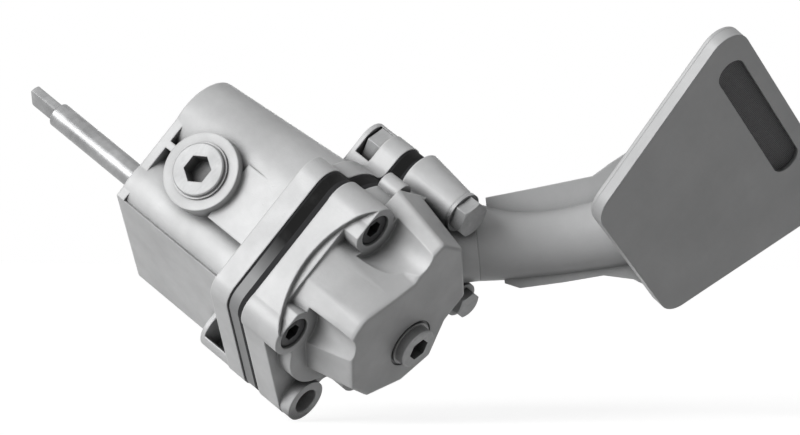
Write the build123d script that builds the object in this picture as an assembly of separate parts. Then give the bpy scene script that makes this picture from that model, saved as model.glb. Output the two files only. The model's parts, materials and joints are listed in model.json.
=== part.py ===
from build123d import *
# Engine oil pump: gear pump with a long drive shaft, relief valve and pickup horn.
#
# Frame: millimetres, +Z along the drive shaft towards its free end. The origin is where the
# shaft axis leaves the mounting face. The pump hangs below that face, the pickup points down.
# +Y runs from the drive shaft to the idler axle, +X to the side with the blanking plug.
import os
from math import acos, cos, degrees, pi, radians, sin, tan

# ---- drive shaft and gears ------------------------------------------------------------
SHAFT_D = 10.0
SHAFT_RISE = 67.0          # free length above the mounting face, tongue included
TONGUE_L = 14.0
TONGUE_D = 9.0
TONGUE_FLATS = 3.6         # across the two flats of the tongue
TONGUE_ANGLE = 30.5        # degrees, from +X to the blade of the tongue
UNDERCUT = 0.3             # grinding relief between the free length and the journal
TEETH = 11
MODULE = 2.75
PRESSURE_ANGLE = 25.0      # degrees
ADDENDUM = 0.85            # in modules
TIP_CLEARANCE = 0.4        # tooth tip to the mating root
BACKLASH = 0.2             # taken off each tooth, measured on the pitch circle
GEAR_L = 18.0
END_PLAY = 0.15            # above and below each gear
AXLE_D = 11.0
AXLE_GRIP = 36.0           # length of the idler axle pressed into the body
RUNNING_FIT = 0.03         # radial clearance of a turning or sliding fit
CASE_FIT = 0.12            # tooth tip to the chamber wall
BUSH_WALL = 1.5
BUSH_L = 16.0
BUSH_SET_IN = 1.0          # bush ends below the faces of the body
KEY_W = 3.0
KEY_H = 5.0
KEY_L = 10.0
FOOT_L = 8.0               # shaft end that runs in the floor of the cover
AXLE_FOOT = 2.5            # same for the idler axle

# ---- the stack along the shaft, downwards from the mounting face ---------------------
BODY_L = 74.0              # mounting face to the joint with the spacer plate
PAPER_GASKET_T = 0.8
SPACER_T = 4.6
COVER_GASKET_T = 2.6
COVER_FLANGE_T = 11.5
DOME_H = 27.5

# ---- body casting --------------------------------------------------------------------
COLUMN_R = 17.4            # wall of both round columns at the mounting face
COLUMN_Y = 33.0            # second column, with the idler axle inside
COLUMN_DRAFT = 4.2         # degrees, second column only
PLATE_T = 4.0
BODY_FLANGE_T = 9.0
BLOCK_BACK_X = -40.0       # far side of the flat-sided block
BLOCK_BOTTOM_Y = -32.5     # lowest corner of the flat side
BLOCK_TOP_Y = 14.0
BLOCK_SET_BACK = 14.0
BLOCK_CORNER_R = 5.0
FLAT_TOP = (16.6, -9.0)    # where the flat side meets the drive column
RECESS_X = 3.0             # floor of the hollow between the two columns
PAD_X = 21.0               # face of the raised pad beside the plug boss
PAD_Y = (6.4, 31.3)
PAD_TOP_Z = -39.5
BRIDGE_T = 3.0             # thin web from the mounting plate to the plug boss
THREAD_L = 8.0             # depth of the blind screw holes above the joint

# ---- ports, seen along the shaft ------------------------------------------------------
PORT_X = 13.5              # delivery at -X and suction at +X, beside the mesh
PORT_R = 6.0
PORT_DEPTH = 7.0
OUTLET = (-28.0, 8.0)
OUTLET_D = 9.0             # the gallery and the sleeve in its mouth have one bore
SUCTION_Z = -110.0         # height of the suction gallery in the cover
SUCTION_R = 5.0
SUCTION_BEND = (-18.0, 41.0)

# ---- blanking plug on the near side --------------------------------------------------
PLUG_Y = 18.1
PLUG_Z = -27.3
PLUG_BOSS_D = 30.8
PLUG_BOSS_X = 25.0
PLUG_D = 18.0
PLUG_HEAD_D = 20.8
PLUG_HEAD_T = 1.8
PLUG_L = 14.0
PLUG_HEX = 10.0
PLUG_HEX_DEPTH = 7.0
PLUG_WASHER_D = 22.4
PLUG_WASHER_T = 1.0
PLUG_BORE_L = 17.0

# ---- flange outline, shared by body, spacer, gaskets and cover -----------------------
SCREW_X = 24.5
SCREW_Y_LO = -6.5
SCREW_Y_HI = 41.2
THIRD_SCREW = (-36.0, -4.0)
SCREW_LUG_R = 9.0
DRIVE_RIM_R = 24.0         # flange round the drive gear
IDLER_RIM_R = 24.0         # flange round the second column
LONG_BOLT = (-12.0, 66.5)
BOLT_LUG_R = 8.0
DEEP_SCREW = (-20.0, -25.2)
DEEP_LUG_R = 8.8
FAR_BOLT_X = -42.0
FAR_BOLT_Y = 40.5
FAR_LUG_R = 7.5
CONCAVE_R = 4.0            # rounding in the re-entrant corners of the outline
GASKET_SET_IN = 0.5        # spacer and gaskets stand this far inside the castings

# ---- cover casting -------------------------------------------------------------------
DOME_FRONT = [(24, 4), (26, 13), (18, 26), (13, 35), (15, 46), (14, 53), (0, 56),
              (-25, 43), (-25, 31), (-33, 17), (-27, 3), (-13, -9), (0, -10)]
DOME_BASE = [(28.6, 0.9), (30.3, 12), (29.7, 27), (20.5, 38), (18.1, 50.1), (16.9, 58.3), (0.5, 61.8),
             (-28.7, 46.6), (-28.7, 32.5), (-38.1, 16.2), (-31.1, -0.2), (-14.7, -14.3), (0.5, -15.4)]
DOME_CORNER_R = 2.0
DOME_CHEEK_R = 8.0         # the first three corners, on the side between the screws
DOME_EDGE_R = 1.5
CASE_WALL = 2.6            # round the drive gear, where the dome is narrower
CASE_FLOOR = 2.4
SCREW_BOSS_TOP = 7.0       # above the flange
SCREW_BOSS_R = 9.3
SCREW_POCKET_R = 11.5
BOLT_COLUMN_END = 22.0     # column length below the joint face
BOLT_COLUMN_R = (7.6, 10.4)
DEEP_BOSS_END = 16.4
DEEP_BOSS_R = 8.6
FAR_COLUMN_END = 30.3
FAR_COLUMN_R = 7.1
NUB = (7.0, 57.5)
NUB_R = 4.3
NUB_L = 9.0
DOWELS = [(13.0, 49.0), (-28.0, 27.0)]
DOWEL_D = 5.0
DOWEL_REACH = 5.0          # into each casting
ARCH_T = 2.2               # arched wall between the two near screws
ARCH_CROWN = 8.1           # its highest point, below the joint face
ARCH_R = 46.0
RIB_T = 3.0                # web between the upper screw boss and the bolt column
RIB_FOOT = (9.0, 53.0)

# ---- fasteners (metric, plain shanks) -------------------------------------------------
M8 = {"d": 8.0, "hole": 8.6, "head_d": 13.0, "head_h": 8.0, "hex": 6.0, "af": 13.0, "hex_h": 5.3, "nut_h": 6.5}
M6 = {"d": 6.0, "hole": 6.5, "head_d": 10.0, "head_h": 6.0, "hex": 5.0, "af": 10.0, "hex_h": 4.0, "nut_h": 5.0}
SCREW_SINK = 1.0           # head below the boss face
DEEP_SINK = 6.0
HEAD_GAP = 0.15            # radial, head to counterbore and nut to pocket
BOLT_PAST = 0.6            # bolt end beyond its nut
WASHER_T = 1.6
WASHER_OD = 16.0
LUG_ROOF = 2.0             # above the nut pocket
LUG_SET_IN = 0.4           # body lugs stand inside the flange outline
BOLT_POCKET_TOP = 16.5 - BODY_L    # both nut pockets are open towards +X
DEEP_POCKET_TOP = 23.0 - BODY_L

# ---- relief valve --------------------------------------------------------------------
RELIEF_X = -13.5
RELIEF_Y = 16.6
RELIEF_PORT_D = 6.5
RELIEF_SEAT = 3.0          # seat below the chamber floor
PLUNGER_D = 11.0
PLUNGER_L = 7.0
PLUNGER_WALL = 1.4
PLUNGER_NOSE = 2.5
SPILL_R = 2.0
SPILL_LAP = 0.8            # closed plunger covers the spill hole by this much
SPRING_WIRE = 0.9
SPRING_TURNS = 3
SPRING_GAP = 0.3           # radial, coil to the plunger's inside
RELIEF_PLUG_D = 14.0
RELIEF_PLUG_L = 6.8
RELIEF_HEAD_D = 16.0
RELIEF_HEAD_T = 4.0
RELIEF_HEX = 8.0
RELIEF_WASHER_T = 1.2
RELIEF_SPOT_D = 20.0
RELIEF_SPOT = 0.8

# ---- pickup horn and strainer ---------------------------------------------------------
PIPE_START = (-36.1, 62.6, -105.8)     # where the pipe leaves the cover's neck
PIPE_DIR = (-0.368, 0.705, -0.605)
SEAM_NORMAL = (0.881, 0.057, -0.469)   # square to the plane that the two halves share
PIPE_R = 15.4
PIPE_WALL = 1.8
SPIGOT_L = 10.0            # length of pipe inside the cover's neck
SPIGOT_R = 13.0
NECK_BACK = 30.0           # neck's root, back along the pipe axis
NECK_FACE = 2.0            # end of the neck, short of the start point
SOCKET_GAP = 1.0           # spigot end to the bottom of its socket
WAIST_FROM = 14.0          # slimmer stretch, along the pipe axis
WAIST_TO = 42.0
WAIST_R = 12.8
WAIST_DROP = 3.5           # its centre below the pipe axis
SEAM_T = 1.6               # thickness of each half's seam flange
SEAM_TOP = [(4, 8), (4, 15.6), (22, 17), (45, 19), (52, 23), (60, 27), (76, 27), (96, 15), (96, 0)]
SEAM_BOTTOM = [(7.5, -8), (7.5, -17.3), (13, -19.8), (30, -19.5), (45, -18.7), (56, -21.4), (66, -28), (90, 0)]
MOUTH_R = (24.0, 19.0)     # pipe's mouth on the strainer: half widths
MOUTH_AT = (-20.0, 36.5)    # its centre, in the strainer's own plane
PAN_ORIGIN = (-41.4, 90.0, -160.0)     # middle of the pan's narrow edge, on its lower face
PAN_NORMAL = (-0.145, 0.074, 0.987)
PAN_AXIS = (-0.113, 0.989, -0.091)     # from the narrow edge to the wide one
PAN_NARROW = 81.2
PAN_WIDE = 137.4
PAN_LENGTH = 83.3
PAN_CORNER_R = 10.0
PAN_DEPTH = 4.4
SHEET = 1.4
SLOT_AT = (13.0, 71.3)
SLOT_L = 77.7
SLOT_W = 12.0
MESH_T = 0.8
MESH_MARGIN = 4.0

# ---- mounting side -------------------------------------------------------------------
MOUNT_TAP_D = 6.8          # tapping size of M8
MOUNT_TAP_L = 16.0
MOUNT_A = (0.0, 41.5)
MOUNT_B = (-33.5, -23.0)
SLEEVE_OD = 12.0
SLEEVE_H = 5.0

# ---- worked out ----------------------------------------------------------------------
PITCH_R = TEETH * MODULE / 2
GEAR_CENTRES = 2 * PITCH_R
TIP_R = PITCH_R + ADDENDUM * MODULE
ROOT_R = GEAR_CENTRES - TIP_R - TIP_CLEARANCE
BASE_R = PITCH_R * cos(radians(PRESSURE_ANGLE))
CHAMBER_R = TIP_R + CASE_FIT
PORT_Y = GEAR_CENTRES / 2
Z_BODY = -BODY_L
Z_SPACER_TOP = Z_BODY - PAPER_GASKET_T
Z_SPACER = Z_SPACER_TOP - SPACER_T
Z_COVER = Z_SPACER - COVER_GASKET_T
Z_LEDGE = Z_COVER - COVER_FLANGE_T
Z_DOME = Z_LEDGE - DOME_H
Z_GEAR = Z_SPACER - END_PLAY
Z_FLOOR = Z_GEAR - GEAR_L - END_PLAY
Z_SCREW_BOSS = Z_LEDGE - SCREW_BOSS_TOP
Z_SCREW_SEAT = Z_SCREW_BOSS + SCREW_SINK + M8["head_h"]
Z_BOLT_END = Z_COVER - BOLT_COLUMN_END
Z_DEEP_END = Z_COVER - DEEP_BOSS_END
Z_DEEP_SEAT = Z_DEEP_END + DEEP_SINK + M6["head_h"]
Z_FAR_END = Z_COVER - FAR_COLUMN_END
Z_RELIEF = Z_FLOOR - RELIEF_SEAT
Z_RELIEF_SPOT = Z_DOME + RELIEF_SPOT
Z_RELIEF_PLUG = Z_RELIEF_SPOT + RELIEF_PLUG_L
SCREWS = [(SCREW_X, SCREW_Y_HI), (SCREW_X, SCREW_Y_LO), THIRD_SCREW]
Z_POCKET = Z_BODY + BODY_FLANGE_T
LUGS = [(*LONG_BOLT, BOLT_LUG_R, COLUMN_Y, M8, BOLT_POCKET_TOP),
        (*DEEP_SCREW, DEEP_LUG_R, 0.0, M6, DEEP_POCKET_TOP)]
SOCKET_R = SPIGOT_R + RUNNING_FIT
BUSH_R = SHAFT_D / 2 + BUSH_WALL


# ---- helpers --------------------------------------------------------------------------
def disc(x, y, r):
    return Pos(x, y) * Circle(r)


def rod(x, y, z_low, z_high, r):
    """Upright cylinder between two heights."""
    return Pos(x, y, (z_low + z_high) / 2) * Cylinder(r, z_high - z_low)


def block(x, y, z):
    """Box given by its three ranges."""
    return Pos(sum(x) / 2, sum(y) / 2, sum(z) / 2) * Box(x[1] - x[0], y[1] - y[0], z[1] - z[0])


def slab(sketch, z_low, z_high):
    return extrude(Pos(0, 0, z_low) * sketch, z_high - z_low)


def polygon(points):
    return make_face(Polyline(*points, close=True))


def hull(*discs):
    return make_hull((Sketch() + list(discs)).edges())


def hex_prism(x, y, z_low, z_high, across_flats):
    return slab(Pos(x, y) * RegularPolygon(across_flats / 2, 6, major_radius=False), z_low, z_high)


def bar(start, direction, length, r):
    """Cylinder that starts at a point and runs along a direction."""
    return extrude(Plane(origin=start, z_dir=direction) * Circle(r), length)


def drilling(start, end, r):
    """Round passage between two points, with rounded ends."""
    start = Vector(start)
    end = Vector(end)
    run = end - start
    return bar(start, run, run.length, r) + Pos(start) * Sphere(r) + Pos(end) * Sphere(r)


def save(name, shape):
    export_step(shape, f"parts/{name}.step")


# ---- the shared flange outline --------------------------------------------------------
def flange_outline(inset=0.0):
    outline = hull(*[disc(x, y, SCREW_LUG_R) for x, y in SCREWS + [(-SCREW_X, SCREW_Y_HI)]])
    outline += hull(disc(*DEEP_SCREW, DEEP_LUG_R), disc(SCREW_X, SCREW_Y_LO, SCREW_LUG_R))
    outline += disc(0, 0, DRIVE_RIM_R) + disc(0, COLUMN_Y, IDLER_RIM_R)
    for x, y, r, foot, size, pocket_top in LUGS:
        outline += hull(disc(x, y, r), disc(x, foot, r))
    outline += hull(disc(FAR_BOLT_X, FAR_BOLT_Y, FAR_LUG_R), disc(-SCREW_X, FAR_BOLT_Y, FAR_LUG_R))
    return offset(offset(outline, CONCAVE_R), -CONCAVE_R - inset)


def holes(z_low, z_high):
    """Clearance holes for every screw and bolt that crosses the joint."""
    cut = [rod(x, y, z_low, z_high, M8["hole"] / 2) for x, y in SCREWS]
    cut += [rod(*LONG_BOLT, z_low, z_high, M8["hole"] / 2), rod(*DEEP_SCREW, z_low, z_high, M6["hole"] / 2)]
    cut += [rod(FAR_BOLT_X, FAR_BOLT_Y, z_low, z_high, M6["hole"] / 2)]
    cut += [rod(x, y, z_low, z_high, DOWEL_D / 2) for x, y in DOWELS]
    return cut


def chamber(z_low, z_high, gap=0.0):
    """The figure-of-eight space that both gears turn in, with its delivery and suction pockets."""
    plan = disc(0, 0, CHAMBER_R + gap) + disc(0, GEAR_CENTRES, CHAMBER_R + gap)
    plan += disc(-PORT_X, PORT_Y, PORT_R + gap) + disc(PORT_X, PORT_Y, PORT_R + gap)
    return slab(plan, z_low, z_high)


def port_slot(z_low, z_high):
    """Passage from the delivery side of the gears to the outlet gallery."""
    return slab(hull(disc(-PORT_X, PORT_Y, OUTLET_D / 2), disc(*OUTLET, OUTLET_D / 2)), z_low, z_high)


# ---- body casting ---------------------------------------------------------------------
def block_profile():
    """Flat-sided block round the outlet gallery; its long edge is the flat side."""
    corners = polygon([FLAT_TOP, (BLOCK_BACK_X, BLOCK_BOTTOM_Y), (BLOCK_BACK_X, BLOCK_TOP_Y),
                       (-COLUMN_R, COLUMN_Y - BLOCK_SET_BACK), (0, 0)])
    rounded = [v for v in corners.vertices() if v.X < BLOCK_BACK_X + 1]
    return fillet(rounded, BLOCK_CORNER_R)


def body_profile():
    """Plan of the block and the drive column, cut back to the flat side."""
    run = Vector(BLOCK_BACK_X - FLAT_TOP[0], BLOCK_BOTTOM_Y - FLAT_TOP[1])
    angle = degrees(acos(-run.X / run.length))
    below = Pos(*FLAT_TOP) * Rot(0, 0, angle) * Pos(-30, -30) * Rectangle(160, 60)
    return block_profile() + (disc(0, 0, COLUMN_R) - below)


def pump_body():
    spread = BODY_L * tan(radians(COLUMN_DRAFT))
    body = slab(body_profile(), Z_BODY, 0)
    body += Pos(0, COLUMN_Y, Z_BODY / 2) * Cone(COLUMN_R + spread, COLUMN_R, BODY_L)
    body += block((-COLUMN_R, RECESS_X), (0, COLUMN_Y), (Z_BODY, 0))
    body += block((-COLUMN_R, FLAT_TOP[0]), (FLAT_TOP[1], COLUMN_Y), (-PLATE_T, 0))
    body += block((0, PAD_X), PAD_Y, (Z_BODY, PAD_TOP_Z))
    body += bar((0, PLUG_Y, PLUG_Z), (1, 0, 0), PLUG_BOSS_X, PLUG_BOSS_D / 2)
    body += block((0, FLAT_TOP[0]), (PLUG_Y - BRIDGE_T / 2, PLUG_Y + BRIDGE_T / 2), (PLUG_Z, 0))
    body += slab(flange_outline(), Z_BODY, Z_BODY + BODY_FLANGE_T)
    for x, y, r, foot, size, pocket_top in LUGS:
        lug_r = r - LUG_SET_IN
        body += slab(hull(disc(x, y, lug_r), disc(x, foot, lug_r)), Z_BODY, pocket_top + LUG_ROOF)
        half = size["af"] / 2 + HEAD_GAP
        body -= block((x - half / cos(pi / 6), x + 3 * r), (y - half, y + half), (Z_POCKET, pocket_top))
        body -= rod(x, y, Z_BODY - 1, Z_POCKET + 1, size["hole"] / 2)
    body -= rod(0, 0, Z_BODY - 1, 1, BUSH_R)
    body -= rod(0, GEAR_CENTRES, Z_BODY - 1, Z_BODY + AXLE_GRIP, AXLE_D / 2)
    body -= bar((PLUG_BOSS_X - PLUG_BORE_L, PLUG_Y, PLUG_Z), (1, 0, 0), PLUG_BORE_L + 1, PLUG_D / 2)
    body -= [rod(x, y, Z_BODY - 1, Z_BODY + THREAD_L, M8["d"] / 2) for x, y in SCREWS]
    body -= rod(FAR_BOLT_X, FAR_BOLT_Y, Z_BODY - 1, Z_BODY + THREAD_L, M6["d"] / 2)
    body -= [rod(x, y, Z_BODY - 1, Z_BODY + DOWEL_REACH, DOWEL_D / 2) for x, y in DOWELS]
    body -= port_slot(Z_BODY - 1, Z_BODY + PORT_DEPTH)
    body -= rod(*OUTLET, Z_BODY, 1, OUTLET_D / 2)
    body -= rod(*OUTLET, -SLEEVE_H / 2, 1, SLEEVE_OD / 2)
    for x, y in (MOUNT_A, MOUNT_B):
        body -= rod(x, y, -MOUNT_TAP_L, 1, MOUNT_TAP_D / 2)
    return body


# ---- spacer plate and gaskets ---------------------------------------------------------
def sheet(z_low, z_high):
    """Any of the flat layers of the joint: outline, bolt holes and the delivery slot."""
    layer = slab(flange_outline(GASKET_SET_IN), z_low, z_high) - holes(z_low - 1, z_high + 1)
    return layer - port_slot(z_low - 1, z_high + 1)


def body_gasket():
    layer = sheet(Z_SPACER_TOP, Z_BODY) - rod(0, 0, Z_SPACER_TOP - 1, Z_BODY + 1, BUSH_R)
    return layer - rod(0, GEAR_CENTRES, Z_SPACER_TOP - 1, Z_BODY + 1, AXLE_D / 2 + HEAD_GAP)


def spacer_plate():
    layer = sheet(Z_SPACER, Z_SPACER_TOP)
    layer -= rod(0, 0, Z_SPACER - 1, Z_SPACER_TOP + 1, SHAFT_D / 2 + HEAD_GAP)
    return layer - rod(0, GEAR_CENTRES, Z_SPACER - 1, Z_SPACER_TOP + 1, AXLE_D / 2 + HEAD_GAP)


def cover_gasket():
    return sheet(Z_COVER, Z_SPACER) - chamber(Z_COVER - 1, Z_SPACER + 1, HEAD_GAP)


# ---- cover casting --------------------------------------------------------------------
def rounded(points):
    """Outline of the dome with its corners rounded."""
    outline = polygon(points)
    cheek = [v for v in outline.vertices() for x, y in points[:3] if abs(v.X - x) + abs(v.Y - y) < 0.01]
    outline = fillet(cheek, DOME_CHEEK_R)
    sharp = [v for v in outline.vertices() for x, y in points[3:] if abs(v.X - x) + abs(v.Y - y) < 0.01]
    return fillet(sharp, DOME_CORNER_R)


def dome():
    front = rounded(DOME_FRONT)
    brow = Pos(0, 0, Z_DOME + DOME_EDGE_R) * front
    step = 0.3 * DOME_EDGE_R
    edge = [brow, Pos(0, 0, Z_DOME + step) * offset(front, -step), Pos(0, 0, Z_DOME) * offset(front, -DOME_EDGE_R)]
    return loft([Pos(0, 0, Z_LEDGE) * rounded(DOME_BASE), brow], ruled=True) + loft(edge, ruled=True)


def seam_plane(height=0.0):
    """The plane that both pipe halves share: X along the pipe, Y up the section."""
    normal = Vector(*SEAM_NORMAL).normalized()
    along = Vector(*PIPE_DIR)
    along = (along - normal * along.dot(normal)).normalized()
    return Plane(origin=Vector(*PIPE_START) + normal * height, x_dir=along, z_dir=normal)


def pipe_bar(start, end, r):
    """Cylinder on the pipe axis between two distances from its start point."""
    seam = seam_plane()
    return bar(seam.origin + seam.x_dir * start, seam.x_dir, end - start, r)


def pump_cover():
    cover = slab(flange_outline(), Z_LEDGE, Z_COVER) + dome()
    cover += rod(0, 0, Z_FLOOR - CASE_FLOOR, Z_COVER, CHAMBER_R + CASE_WALL)
    neck = pipe_bar(-NECK_BACK, -NECK_FACE, PIPE_R)
    cover += neck - block((-200, 200), (-200, 200), (Z_COVER, 0))
    for x, y in SCREWS:
        cover -= rod(x, y, Z_DOME - 1, Z_SCREW_BOSS, SCREW_POCKET_R)
        cover += rod(x, y, Z_SCREW_BOSS, Z_COVER, SCREW_BOSS_R)
        cover -= rod(x, y, Z_SCREW_BOSS - 1, Z_SCREW_SEAT, M8["head_d"] / 2 + HEAD_GAP)
        cover -= rod(x, y, Z_SCREW_SEAT - 1, Z_COVER + 1, M8["hole"] / 2)
    outer = SCREW_X + SCREW_LUG_R
    middle = (SCREW_Y_LO + SCREW_Y_HI) / 2 + 1.5
    cover += block((outer - ARCH_T, outer), (SCREW_Y_LO, SCREW_Y_HI), (Z_SCREW_BOSS, Z_COVER))
    cover -= bar((outer - ARCH_T, middle, Z_COVER - ARCH_CROWN - ARCH_R), (1, 0, 0), 2 * ARCH_T, ARCH_R)
    small, large = BOLT_COLUMN_R
    cover += Pos(*LONG_BOLT, (Z_COVER + Z_BOLT_END) / 2) * Cone(small, large, BOLT_COLUMN_END)
    cover += rod(*DEEP_SCREW, Z_DEEP_END, Z_COVER, DEEP_BOSS_R)
    cover += rod(FAR_BOLT_X, FAR_BOLT_Y, Z_FAR_END, Z_COVER, FAR_COLUMN_R)
    cover += rod(*NUB, Z_COVER - NUB_L, Z_COVER, NUB_R)
    rib = hull(disc(*RIB_FOOT, RIB_T / 2), disc(LONG_BOLT[0], LONG_BOLT[1] - small, RIB_T / 2))
    cover += slab(rib, Z_LEDGE - SCREW_BOSS_TOP, Z_COVER)
    cover -= rod(*LONG_BOLT, Z_BOLT_END - 1, Z_COVER + 1, M8["hole"] / 2)
    cover -= rod(*LONG_BOLT, Z_BOLT_END - 10, Z_BOLT_END, WASHER_OD / 2 + 2 * HEAD_GAP)
    cover -= rod(*DEEP_SCREW, Z_DEEP_END - 1, Z_DEEP_SEAT, M6["head_d"] / 2 + HEAD_GAP)
    cover -= rod(*DEEP_SCREW, Z_DEEP_SEAT - 1, Z_COVER + 1, M6["hole"] / 2)
    cover -= rod(FAR_BOLT_X, FAR_BOLT_Y, Z_FAR_END - 1, Z_COVER + 1, M6["hole"] / 2)
    cover -= [rod(x, y, Z_COVER - DOWEL_REACH, Z_COVER + 1, DOWEL_D / 2) for x, y in DOWELS]
    cover -= chamber(Z_FLOOR, Z_COVER + 1)
    cover -= rod(0, 0, Z_FLOOR - FOOT_L - END_PLAY, Z_FLOOR + 1, SHAFT_D / 2 + RUNNING_FIT)
    cover -= rod(0, GEAR_CENTRES, Z_FLOOR - AXLE_FOOT - END_PLAY, Z_FLOOR + 1, AXLE_D / 2 + RUNNING_FIT)
    return cover - suction_passages() - relief_passages()


def suction_passages():
    """Socket for the pickup pipe and the drillings that lead from it to the suction pocket."""
    bottom = SPIGOT_L + NECK_FACE + SOCKET_GAP
    void = pipe_bar(-bottom, 0, SOCKET_R)
    bend = (*SUCTION_BEND, SUCTION_Z)
    void += drilling(seam_plane().from_local_coords((-bottom, 0, 0)), bend, SUCTION_R)
    void += drilling(bend, (PORT_X, PORT_Y, SUCTION_Z), SUCTION_R)
    return void + rod(PORT_X, PORT_Y, SUCTION_Z, Z_FLOOR + 1, SUCTION_R)


def relief_passages():
    """Bore of the relief valve, its port on the delivery side and its spill to the suction side."""
    void = rod(RELIEF_X, RELIEF_Y, Z_RELIEF - 1, Z_FLOOR + 1, RELIEF_PORT_D / 2)
    void += rod(RELIEF_X, RELIEF_Y, Z_RELIEF_PLUG, Z_RELIEF, PLUNGER_D / 2 + RUNNING_FIT)
    void += rod(RELIEF_X, RELIEF_Y, Z_DOME - 1, Z_RELIEF_PLUG, RELIEF_PLUG_D / 2)
    void += rod(RELIEF_X, RELIEF_Y, Z_DOME - 1, Z_RELIEF_SPOT, RELIEF_SPOT_D / 2)
    spill_z = Z_RELIEF - SPILL_LAP - SPILL_R
    return void + bar((RELIEF_X, RELIEF_Y, spill_z), (1, 0, 0), PORT_X - RELIEF_X, SPILL_R)


# ---- drive shaft, gears, bushes and axle ----------------------------------------------
def key_middle():
    return Z_GEAR - GEAR_L / 2


def gear_key():
    middle = key_middle()
    outer = SHAFT_D / 2 + KEY_H / 2
    return block((outer - KEY_H, outer), (-KEY_W / 2, KEY_W / 2), (middle - KEY_L / 2, middle + KEY_L / 2))


def drive_shaft():
    shaft = rod(0, 0, Z_FLOOR - FOOT_L, SHAFT_RISE - TONGUE_L, SHAFT_D / 2)
    shaft = chamfer(shaft.edges().filter_by(GeomType.CIRCLE), SHAFT_D / 20)
    tongue = rod(0, 0, SHAFT_RISE - TONGUE_L, SHAFT_RISE, TONGUE_D / 2)
    tongue = chamfer(tongue.edges().group_by(Axis.Z)[-1], TONGUE_D / 18)
    blade = block((-TONGUE_D, TONGUE_D), (-TONGUE_FLATS / 2, TONGUE_FLATS / 2), (0, SHAFT_RISE))
    shaft += tongue & (Rot(0, 0, TONGUE_ANGLE) * blade)
    relief = rod(0, 0, -BUSH_SET_IN, 0, SHAFT_D / 2 + 1) - rod(0, 0, -BUSH_SET_IN, 0, SHAFT_D / 2 - UNDERCUT)
    return shaft - gear_key() - relief


def involute(radius):
    """Angle that the involute has turned by at a radius."""
    angle = acos(BASE_R / radius)
    return tan(angle) - angle


def tooth():
    """One tooth, centred on +X, rooted a little inside the root circle."""
    pitch_half = pi / (2 * TEETH) - BACKLASH / (2 * PITCH_R)

    def flank_point(radius, side):
        half = pitch_half + involute(PITCH_R) - involute(radius)
        return (radius * cos(half), side * radius * sin(half))

    radii = [BASE_R + (TIP_R - BASE_R) * step / 5 for step in range(6)]
    upper = [flank_point(r, 1) for r in radii]
    lower = [flank_point(r, -1) for r in radii]
    foot_x = ROOT_R * 0.9
    foot_y = upper[0][1] * ROOT_R / BASE_R
    outline = [Spline(*upper), ThreePointArc(upper[-1], (TIP_R, 0), lower[-1]), Spline(*lower)]
    outline += [Polyline(upper[0], (foot_x, foot_y), (foot_x, -foot_y), lower[0])]
    return make_face(Curve() + outline)


def gear(x, y):
    """Spur gear with a tooth on the +Y side of its axis."""
    one = tooth()
    plan = disc(0, 0, ROOT_R) + [Rot(0, 0, 90 + 360 * n / TEETH) * one for n in range(TEETH)]
    return slab(Pos(x, y) * plan, Z_GEAR - GEAR_L, Z_GEAR)


def drive_gear():
    wheel = gear(0, 0) - rod(0, 0, Z_GEAR - GEAR_L - 1, Z_GEAR + 1, SHAFT_D / 2)
    keyway = block((0, SHAFT_D / 2 + KEY_H / 2), (-KEY_W / 2, KEY_W / 2), (key_middle(), Z_GEAR + 1))
    return wheel - gear_key() - keyway


def idler_gear():
    return gear(0, GEAR_CENTRES) - rod(0, GEAR_CENTRES, Z_GEAR - GEAR_L - 1, Z_GEAR + 1, AXLE_D / 2 + BUSH_WALL)


def idler_bush():
    bush = rod(0, GEAR_CENTRES, Z_GEAR - GEAR_L, Z_GEAR, AXLE_D / 2 + BUSH_WALL)
    return bush - rod(0, GEAR_CENTRES, Z_GEAR - GEAR_L - 1, Z_GEAR + 1, AXLE_D / 2 + RUNNING_FIT)


def idler_axle():
    axle = rod(0, GEAR_CENTRES, Z_FLOOR - AXLE_FOOT, Z_BODY + AXLE_GRIP, AXLE_D / 2)
    return chamfer(axle.edges().filter_by(GeomType.CIRCLE), AXLE_D / 20)


def shaft_bush(z_top):
    bush = rod(0, 0, z_top - BUSH_L, z_top, BUSH_R)
    return bush - rod(0, 0, z_top - BUSH_L - 1, z_top + 1, SHAFT_D / 2 + RUNNING_FIT)


# ---- blanking plug --------------------------------------------------------------------
def side_plug():
    centre = (0, PLUG_Y, PLUG_Z)
    seat_x = PLUG_BOSS_X + PLUG_WASHER_T
    shank = bar((PLUG_BOSS_X - PLUG_L, *centre[1:]), (1, 0, 0), PLUG_L + PLUG_WASHER_T, PLUG_D / 2)
    head = bar((seat_x, *centre[1:]), (1, 0, 0), PLUG_HEAD_T, PLUG_HEAD_D / 2)
    head = chamfer(head.edges().group_by(Axis.X)[-1], PLUG_HEAD_T / 4)
    end_x = seat_x + PLUG_HEAD_T
    mouth = Plane(origin=(end_x, *centre[1:]), x_dir=(0, 1, 0), z_dir=(1, 0, 0))
    socket = extrude(mouth * RegularPolygon(PLUG_HEX / 2, 6, major_radius=False), -PLUG_HEX_DEPTH)
    return shank + head - socket


def side_plug_washer():
    ring = bar((PLUG_BOSS_X, PLUG_Y, PLUG_Z), (1, 0, 0), PLUG_WASHER_T, PLUG_WASHER_D / 2)
    return ring - bar((PLUG_BOSS_X - 1, PLUG_Y, PLUG_Z), (1, 0, 0), PLUG_WASHER_T + 2, PLUG_D / 2 + HEAD_GAP)


# ---- relief valve ---------------------------------------------------------------------
def relief_plunger():
    cup = rod(RELIEF_X, RELIEF_Y, Z_RELIEF - PLUNGER_L, Z_RELIEF, PLUNGER_D / 2)
    inside = PLUNGER_D / 2 - PLUNGER_WALL
    return cup - rod(RELIEF_X, RELIEF_Y, Z_RELIEF - PLUNGER_L - 1, Z_RELIEF - PLUNGER_NOSE, inside)


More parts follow.
